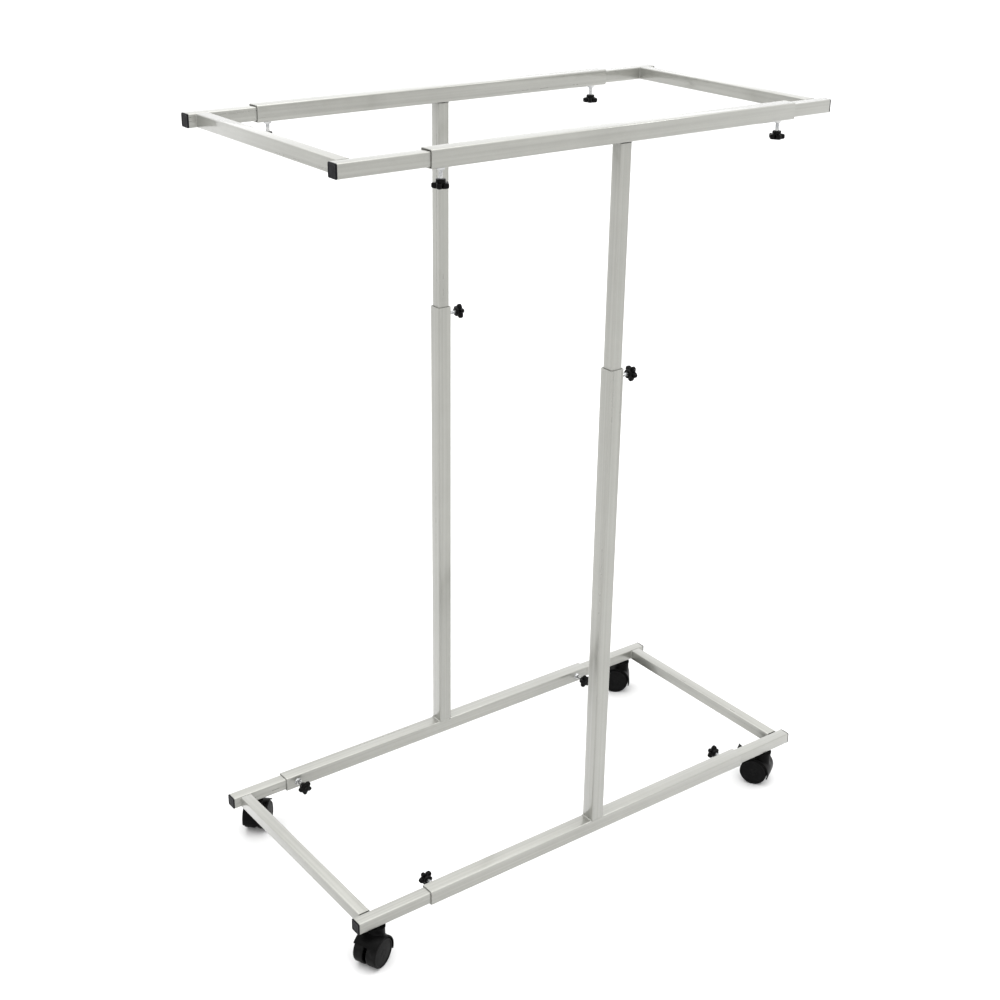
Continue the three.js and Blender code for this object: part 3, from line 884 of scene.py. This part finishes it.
# %% Nuts on the sleeves
for body in ("side_frames", "top_rails"):
    names = [name for name in CLAMPS if JOINTS[f"screw_travel_{name}"]["parent"] == body]
    lines = [clamp_line(name) for name in names]
    seats = [tip + axis * ((SLEEVE - INNER) / 2 - NUT_BED) for axis, tip, _ in lines]
    points = bpy.data.meshes.new("clamp_points")
    points.from_pydata(seats, [], [])
    field = points.attributes.new("outward", "FLOAT_VECTOR", "POINT")
    for i, (axis, _, _) in enumerate(lines):
        field.data[i].vector = axis
    finish(f"weld_nuts_{body}", grow(nut_tree, points, Finish=ZINC), ZINC, body, crease=30)
    print(body, "nuts", len(names))
bpy.data.objects.remove(nut_pattern)

# %% [markdown]
# ## Star knobs
# A knob is one moulding: a round collar that faces the sleeve, five thick lobes for the
# fingers, and a low boss outside. It is lofted from rings that all follow the same star, drawn
# in at the edges so that every edge is rounded.

# %% The knob
KNOB_LOBES = 5


def star_ring(tip, valley, height, sharpness=0.62, count=100):
    """A ring of five rounded lobes."""
    ring = []
    for i in range(count):
        t = 2 * math.pi * i / count
        wave = (0.5 + 0.5 * math.cos(KNOB_LOBES * t)) ** sharpness
        radius = valley + (tip - valley) * wave
        ring.append((radius * math.cos(t), radius * math.sin(t), height))
    return ring


def knob_mesh(length):
    """Rows of tip, valley and height, from the collar's face at 0 to the outer face."""
    tip, valley, collar, bore = 12.5 * MM, 7.3 * MM, 6.6 * MM, SCREW_HOLE
    neck = 4.6 * MM
    sections = [
        (bore, bore, 8.0 * MM),
        (bore, bore, 0.3 * MM),
        (bore + 0.4 * MM, bore + 0.4 * MM, 0.0),
        (collar - 0.5 * MM, collar - 0.5 * MM, 0.0),
        (collar, collar, 0.5 * MM),
        (collar, collar, neck - 0.9 * MM),
        (collar + 0.3 * MM, collar + 0.2 * MM, neck - 0.3 * MM),
        (collar + 1.6 * MM, collar + 0.3 * MM, neck),
        (tip - 2.2 * MM, valley - 0.3 * MM, neck + 0.1 * MM),
        (tip - 0.9 * MM, valley - 0.15 * MM, neck + 0.5 * MM),
        (tip - 0.2 * MM, valley, neck + 1.4 * MM),
        (tip, valley, neck + 2.4 * MM),
        (tip, valley, length - 3.2 * MM),
        (tip - 0.25 * MM, valley - 0.1 * MM, length - 2.2 * MM),
        (tip - 1.1 * MM, valley - 0.4 * MM, length - 1.3 * MM),
        (tip - 2.6 * MM, valley - 0.8 * MM, length - 0.8 * MM),
        (tip - 4.6 * MM, valley - 1.2 * MM, length - 0.7 * MM),
        (5.4 * MM, 5.2 * MM, length - 0.65 * MM),
        (5.0 * MM, 5.0 * MM, length - 0.25 * MM),
        (4.5 * MM, 4.5 * MM, length),
        (2.4 * MM, 2.4 * MM, length),
        (1.8 * MM, 1.8 * MM, length - 0.3 * MM),
        (0.6 * MM, 0.6 * MM, length - 0.45 * MM),
    ]
    return loft("knob", [star_ring(*row) for row in sections])


KNOB_FIRST_TURN, KNOB_TURN_STEP = 0.45, 0.8
for number, name in enumerate(CLAMPS):
    axis, _, _ = clamp_line(name)
    low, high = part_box(f"star_knob_{name}")
    middle = Vector(JOINTS[f"knob_turn_{name}"]["pos_m"])
    reach = abs((high - low).dot(axis))
    near = middle + axis * (((low + high) / 2 - middle).dot(axis) - reach / 2)
    mesh = knob_mesh(reach)
    mesh.transform(standing(axis, near, roll=KNOB_FIRST_TURN + KNOB_TURN_STEP * number))
    finish(f"knob_{name}", mesh, KNOB_BLACK, f"star_knob_{name}", f"star_knob_{name}", crease=50)

# %% [markdown]
# ## Casters
# Each caster turns on an upright stem in the arm. Its housing is one moulding: a hood over
# both wheels, a web between them, and a round boss that meets the stem. The wheels turn on
# one axle, which stands a little behind the stem, so they trail. Everything is first made
# about the axle, lying along Y with the hood's lip towards +X, and then turned into place.

# %% Caster sizes
WHEEL_RADIUS, WHEEL_WIDTH = 25.0 * MM, 17.5 * MM
WEB, WHEEL_GAP = 4.0 * MM, 1.0 * MM
HOOD_BORE, HOOD_RADIUS = 26.3 * MM, 28.4 * MM
HOOD_OVER = 0.5 * MM
HOOD_WIDTH = WEB + 2 * (WHEEL_WIDTH + WHEEL_GAP + HOOD_OVER)
HOOD_FRONT, HOOD_BACK = math.radians(-18), math.radians(140)
BOSS_RADIUS, BOSS_LOWEST = 13.5 * MM, 9.0 * MM
STEM_HOLE = 5.3 * MM
AXLE_RADIUS, AXLE_IN_WHEEL = 3.0 * MM, 13.0 * MM
BRAKED_CORNER = "front_right"


# %% Hood
def hood_ring(angle, half_width, inner, outer):
    """The hood's section at one angle round the axle: a thin strip with softened edges."""
    soft = min(1.5 * MM, (outer - inner) * 0.7)
    crisp = min(0.35 * MM, (outer - inner) * 0.2)
    corners = (
        ((outer - soft, half_width - soft), soft, 90),
        ((outer - soft, soft - half_width), soft, 360),
        ((inner + crisp, crisp - half_width), crisp, 270),
        ((inner + crisp, half_width - crisp), crisp, 180),
    )
    ring = []
    for (r, y), radius, first in corners:
        for step in range(5):
            t = math.radians(first - 22.5 * step)
            reach = r + radius * math.cos(t)
            across = y + radius * math.sin(t)
            ring.append((reach * math.cos(angle), across, reach * math.sin(angle)))
    return ring


def hood_mesh():
    """A strip carried round the wheels, drawn in at its two lips so that they are eased."""
    steps, lip = 44, math.radians(1.3)
    half = HOOD_WIDTH / 2
    rings = []
    for k in range(steps + 1):
        angle = HOOD_FRONT + lip + (HOOD_BACK - HOOD_FRONT - 2 * lip) * k / steps
        rings.append(hood_ring(angle, half, HOOD_BORE, HOOD_RADIUS))
    first, last = (
        hood_ring(angle, half - 0.6 * MM, HOOD_BORE + 0.5 * MM, HOOD_RADIUS - 0.5 * MM)
        for angle in (HOOD_FRONT, HOOD_BACK)
    )
    return loft("hood", [first] + rings + [last])


# %% Web and boss
def arc(radius, start, end, steps):
    """Points along an arc round the axle, both ends included."""
    angles = [start + (end - start) * k / steps for k in range(steps + 1)]
    return [(radius * math.cos(t), radius * math.sin(t)) for t in angles]


def web_mesh():
    """The plate between the wheels: a sector of a disc with an eye for the axle."""
    outline = arc(HOOD_BORE + 0.8 * MM, HOOD_FRONT, HOOD_BACK, 32)
    outline += arc(6.0 * MM, HOOD_BACK, HOOD_FRONT + 2 * math.pi, 16)
    flat = WEB / 2 - 0.4 * MM
    rings = []
    for y, share in ((-WEB / 2, 0.985), (-flat, 1.0), (flat, 1.0), (WEB / 2, 0.985)):
        rings.append([(x * share, y, z * share) for x, z in outline])
    return loft("web", rings)


def boss_mesh(trail, top, stem_hole):
    """The boss stands on the hood: its foot follows the hood's curve and blends into it."""
    angles = [2 * math.pi * i / 64 for i in range(64)]

    def on_hood(radius, lift):
        ring = []
        for t in angles:
            x, y = trail + radius * math.cos(t), radius * math.sin(t)
            height_squared = max(HOOD_RADIUS ** 2 - x * x, BOSS_LOWEST ** 2)
            ring.append((x, y, math.sqrt(height_squared) + lift))
        return ring

    def level(radius, z):
        return [(trail + radius * math.cos(t), radius * math.sin(t), z) for t in angles]

    rings = [
        on_hood(2.0 * MM, -1.5 * MM),
        on_hood(8.0 * MM, -1.5 * MM),
        on_hood(BOSS_RADIUS + 0.9 * MM, -1.5 * MM),
        on_hood(BOSS_RADIUS + 1.6 * MM, -0.25 * MM),
        on_hood(BOSS_RADIUS + 0.6 * MM, 0.5 * MM),
        on_hood(BOSS_RADIUS, 1.8 * MM),
        level(BOSS_RADIUS, top - 2.6 * MM),
        level(BOSS_RADIUS + 0.7 * MM, top - 2.1 * MM),
        level(BOSS_RADIUS + 0.7 * MM, top - 0.6 * MM),
        level(BOSS_RADIUS + 0.2 * MM, top),
        level(stem_hole + 0.6 * MM, top),
        level(stem_hole, top - 0.5 * MM),
        level(stem_hole, top - 3.0 * MM),
        level(1.0 * MM, top - 3.2 * MM),
    ]
    return loft("boss", rings)


# %% [markdown]
# One caster has a brake. Its pedal is a short wedge-shaped tongue that rises from the back of
# the hood, with raised ribs across it so that a shoe does not slip.


# %% Brake pedal
PEDAL_HALF, PEDAL_EDGE = 6.9 * MM, 0.6 * MM
PEDAL_ROOTS = math.radians(123), math.radians(137)
PEDAL_TIP, PEDAL_TIP_LOW = (-35.0 * MM, 37.8 * MM), (-35.0 * MM, 33.6 * MM)
RIB_SHAPE = (0.15, 0.0), (0.19, 0.5 * MM), (0.25, 0.5 * MM), (0.29, 0.0)
RIB_STEP, GROOVE = 0.16, 0.5 * MM


def pedal_mesh():
    """Its side view, drawn from the root under the tongue round to the root on top."""
    root = (HOOD_BORE + HOOD_RADIUS) / 2
    upper, lower = ((root * math.cos(t), root * math.sin(t)) for t in PEDAL_ROOTS)
    tip_x, tip_z = PEDAL_TIP
    flat = PEDAL_HALF - PEDAL_EDGE
    rings = []
    sides = (-PEDAL_HALF, PEDAL_EDGE), (-flat, 0.0), (flat, 0.0), (PEDAL_HALF, PEDAL_EDGE)
    for y, ease in sides:
        outline = [
            lower,
            (PEDAL_TIP_LOW[0] + ease, PEDAL_TIP_LOW[1] + ease),
            (tip_x + ease, tip_z - 0.8 * MM - ease),
            (tip_x + 0.5 * MM + ease, tip_z - ease),
        ]
        for rib in range(4):
            for share, rise in RIB_SHAPE:
                along = share + RIB_STEP * rib
                x = tip_x + (upper[0] - tip_x) * along
                z = tip_z + (upper[1] - tip_z) * along
                outline.append((x, z - GROOVE + rise - ease))
        outline.append((upper[0], upper[1] - ease))
        rings.append([(x, y, z) for x, z in outline])
    return loft("pedal", rings)


# %% Wheels, axle and stem
def wheel_mesh():
    """A wheel with its outer face towards +Z: round tread, proud rim, shallow domed disc."""
    w = WHEEL_WIDTH
    section = [
        (0.0, w - 3.6 * MM), (3.3 * MM, w - 3.6 * MM), (3.3 * MM, 0.2 * MM), (3.6 * MM, 0.0),
        (6.6 * MM, 0.0), (7.0 * MM, 0.4 * MM), (7.0 * MM, w - 3.4 * MM), (21.6 * MM, w - 3.4 * MM),
        (22.0 * MM, 0.4 * MM), (22.4 * MM, 0.0), (23.6 * MM, 0.0), (24.5 * MM, 0.35 * MM),
        (24.9 * MM, 1.1 * MM), (WHEEL_RADIUS, 2.2 * MM), (WHEEL_RADIUS, w - 3.0 * MM),
        (24.85 * MM, w - 1.9 * MM), (24.45 * MM, w - 1.0 * MM), (23.8 * MM, w - 0.35 * MM),
        (23.0 * MM, w - 0.05 * MM), (22.2 * MM, w), (21.6 * MM, w - 0.2 * MM),
        (21.25 * MM, w - 0.75 * MM), (20.9 * MM, w - 0.95 * MM), (20.4 * MM, w - 0.9 * MM),
        (16.0 * MM, w - 0.55 * MM), (11.0 * MM, w - 0.3 * MM), (6.6 * MM, w - 0.22 * MM),
        (6.3 * MM, w - 0.5 * MM), (5.9 * MM, w - 0.5 * MM), (5.6 * MM, w - 0.2 * MM),
        (4.0 * MM, w - 0.08 * MM), (0.0, w - 0.05 * MM),
    ]
    return turned("wheel", section, sides=72)


def axle_mesh(length):
    r, c = AXLE_RADIUS, 0.4 * MM
    section = [(0, 0), (r - c, 0), (r, c), (r, length - c), (r - c, length), (0, length)]
    return turned("axle", section, sides=32)


def stem_mesh(low, high, flange_low, flange_high):
    """The zinc stem: a bar with rounded ends and a flange between the boss and the arm."""
    bar, flange, c = 5.0 * MM, 8.0 * MM, 0.5 * MM
    return turned("stem", [
        (0, low), (bar - c, low), (bar, low + c), (bar, flange_low),
        (flange - c, flange_low), (flange, flange_low + c), (flange, flange_high - c),
        (flange - c, flange_high), (bar, flange_high), (bar, high - 1.2 * MM),
        (bar - 1.2 * MM, high), (0, high),
    ], sides=40)


# %% Put the casters together
hood, wheel = hood_mesh(), wheel_mesh()
for corner in ("front_left", "rear_left", "front_right", "rear_right"):
    stem_place = Vector(JOINTS[f"swivel_{corner}"]["pos_m"])
    axle_place = Vector(JOINTS[f"roll_a_{corner}"]["pos_m"])
    lead = Vector((stem_place.x - axle_place.x, stem_place.y - axle_place.y, 0))
    trail, heading = lead.length, math.atan2(lead.y, lead.x)
    facing = Matrix.Translation(axle_place) @ Matrix.Rotation(heading, 4, "Z")
    low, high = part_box(f"caster_housing_{corner}")
    shells = [hood, web_mesh(), boss_mesh(trail, high.z - axle_place.z, STEM_HOLE)]
    if corner == BRAKED_CORNER:
        shells.append(pedal_mesh())
    housing = placed(joined("housing", shells), facing)
    body = f"caster_{corner}"
    finish(f"caster_hood_{corner}", housing, CASTER_BLACK, body, f"caster_housing_{corner}")

    along_axle = Matrix.Rotation(-math.pi / 2, 4, "X")
    axle_length = 2 * (WEB / 2 + WHEEL_GAP / 2 + AXLE_IN_WHEEL)
    start = Matrix.Translation((0, 0, -axle_length / 2))
    axle = placed(axle_mesh(axle_length), facing @ along_axle @ start)
    finish(f"caster_pin_{corner}", axle, ZINC, body, f"caster_axle_{corner}")

    s_low, s_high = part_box(f"caster_stem_{corner}")
    arm_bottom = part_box(f"base_plug_{corner}")[0].z
    stem = stem_mesh(s_low.z, s_high.z, high.z + 0.2 * MM, arm_bottom - 0.1 * MM)
    stem.transform(Matrix.Translation((stem_place.x, stem_place.y, 0)))
    node = f"caster_stem_{corner}"
    finish(f"caster_post_{corner}", stem, ZINC, BODY_OF[node], node)

    sideways = facing.to_3x3() @ Vector((0, 1, 0))
    for hand in "ab":
        node = f"caster_wheel_{hand}_{corner}"
        w_low, w_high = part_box(node)
        sign = 1 if ((w_low + w_high) / 2 - axle_place).dot(sideways) > 0 else -1
        outward = Matrix.Rotation(-sign * math.pi / 2, 4, "X")
        start = Matrix.Translation((0, 0, WEB / 2 + WHEEL_GAP))
        mesh = placed(wheel, facing @ outward @ start)
        finish(f"wheel_{hand}_{corner}_turned", mesh, NYLON, f"wheel_{hand}_{corner}", node)
    print(corner, "trail", round(trail, 4), "heading", round(math.degrees(heading), 1))

# %% [markdown]
# ## Floor and light
# The floor is a plain, nearly white sweep. A bright even sky does most of the work, and a
# wide lamp overhead whitens the tops of the tubes, so upper faces, front faces and shaded
# faces separate softly, as they do in a light tent.

# %% Floor
FLOOR_HALF = 30.0
floor_mesh = bpy.data.meshes.new("floor")
signs = (-1, -1), (1, -1), (1, 1), (-1, 1)
floor_corners = [(x * FLOOR_HALF, y * FLOOR_HALF, 0) for x, y in signs]
floor_mesh.from_pydata(floor_corners, [], [(0, 1, 2, 3)])
floor_finish, bench, shader = surface("pale_floor", {"Specular IOR Level": 0.1})
floor_where = bench.add("ShaderNodeTexCoord", out="Object")
mottle = noise(bench, floor_where, 3.0, 3.0)
feed(
    bench, shader,
    Base_Color=between(bench, mottle, grey(0.67), grey(0.69)),
    Roughness=0.75 + mottle * 0.1,
)
floor_mesh.materials.append(floor_finish)
floor = bpy.data.objects.new("floor", floor_mesh)
bpy.context.scene.collection.objects.link(floor)


# %% Light
def lamp(name, place, aim, size, power):
    data = bpy.data.lights.new(name, "AREA")
    data.shape, data.size, data.energy = "SQUARE", size, power
    lamp_object = bpy.data.objects.new(name, data)
    look = (Vector(aim) - Vector(place)).to_track_quat("-Z", "Y")
    lamp_object.matrix_world = Matrix.Translation(place) @ look.to_matrix().to_4x4()
    bpy.context.scene.collection.objects.link(lamp_object)


RACK_MIDDLE = (0, 0, 0.6)
lamp("overhead_softbox", (-0.2, 0.1, 3.6), RACK_MIDDLE, size=2.4, power=20)
lamp("right_softbox", (1.9, -1.5, 2.7), RACK_MIDDLE, size=0.7, power=13)

# %% Sky: even all round, and brighter straight overhead
SKY_STRENGTH, SKY_OVERHEAD = 1.36, 1.9
world = bpy.data.worlds.new("light_tent")
world.use_nodes = True
bench = Bench(world.node_tree)
direction = bench.add("ShaderNodeTexCoord", out="Generated")
height = bench.add("ShaderNodeSeparateXYZ", None, {0: direction}, out="Z")
upward = bench.add("ShaderNodeMath", {"operation": "MAXIMUM"}, {0: height, 1: 0.0})
glow = upward * upward * upward * upward * SKY_OVERHEAD + SKY_STRENGTH
background = world.node_tree.nodes["Background"]
background.inputs["Color"].default_value = (1.0, 1.0, 1.0, 1)
world.node_tree.links.new(glow.socket, background.inputs["Strength"])
bpy.context.scene.world = world
bpy.context.scene.view_settings.view_transform = "Standard"
